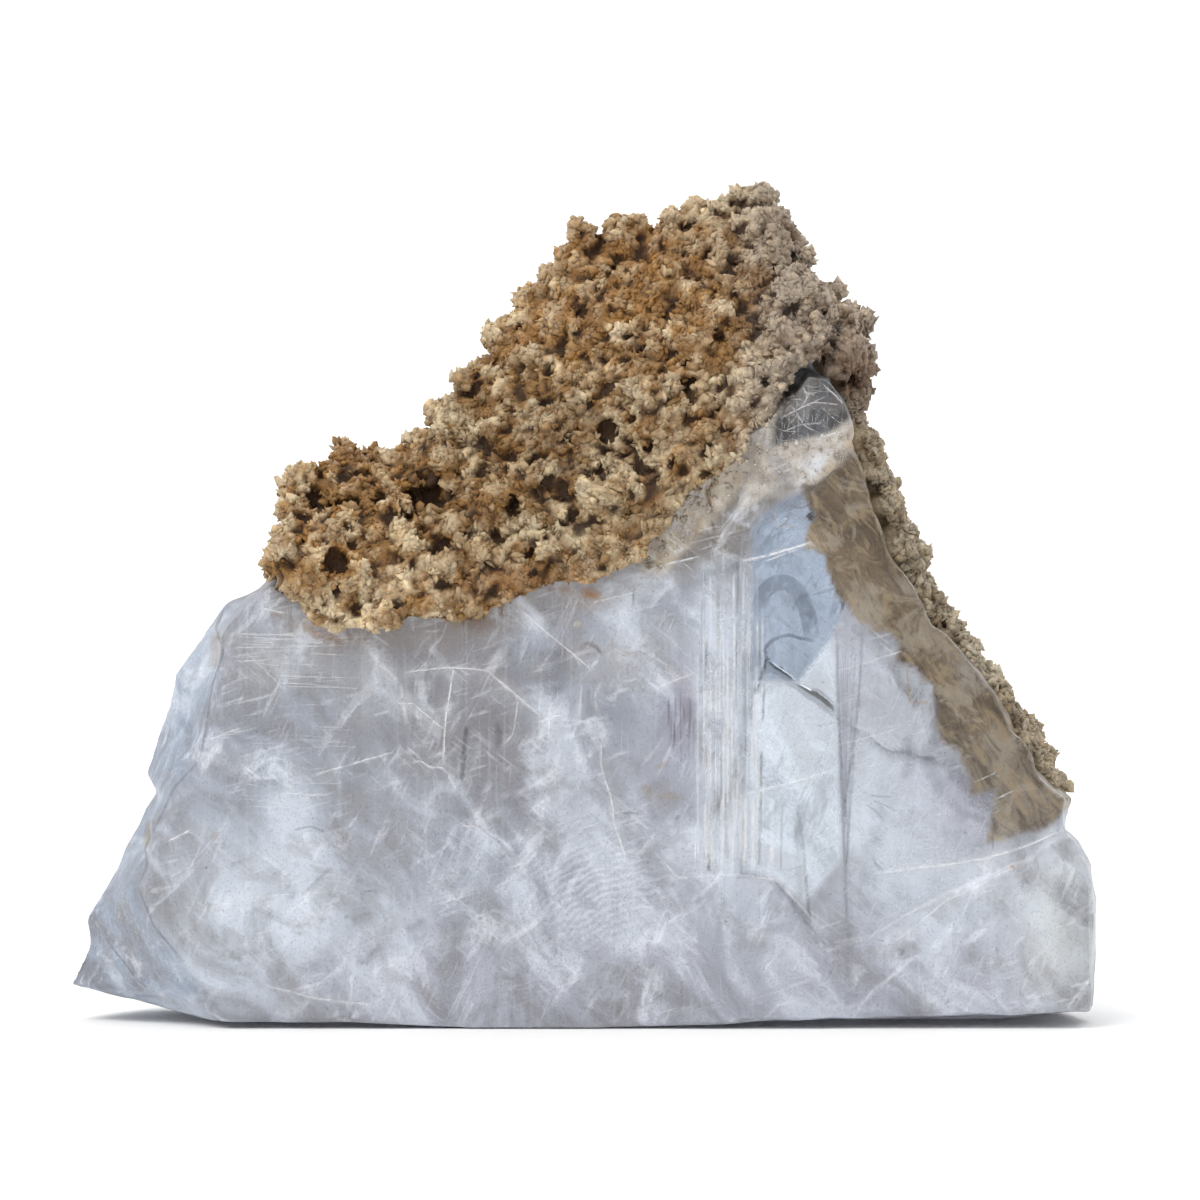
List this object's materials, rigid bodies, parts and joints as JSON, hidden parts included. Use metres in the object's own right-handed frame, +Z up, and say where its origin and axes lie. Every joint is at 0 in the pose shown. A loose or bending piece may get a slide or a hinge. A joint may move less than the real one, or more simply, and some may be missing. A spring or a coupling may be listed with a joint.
{
  "type": "selenite slab",
  "caption": "Clear gypsum (selenite) cleavage slab that stands on its flat base, with a sugary tan crust of small gypsum crystals on its upper bevel and along its back right edge.",
  "frame": {"origin": "under the middle of the whole part, at the level of the surface that it stands on", "axes": "+X along the base to the right, +Y from the front cleavage face to the back, +Z up"},
  "size_m": [0.2018, 0.0552, 0.1633],
  "materials": {
    "clear_gypsum": "clear to milky cleavage faces with inner veils and fractures",
    "sugary_gypsum": "rough sugary crystal crust, tan with whitish tips",
    "brown_gypsum": "rough brown crystal crust"
  },
  "bodies": {
    "root": {"slab": "clear_gypsum", "crust": "sugary_gypsum", "edge_crust": "brown_gypsum"}
  },
  "joints": []
}
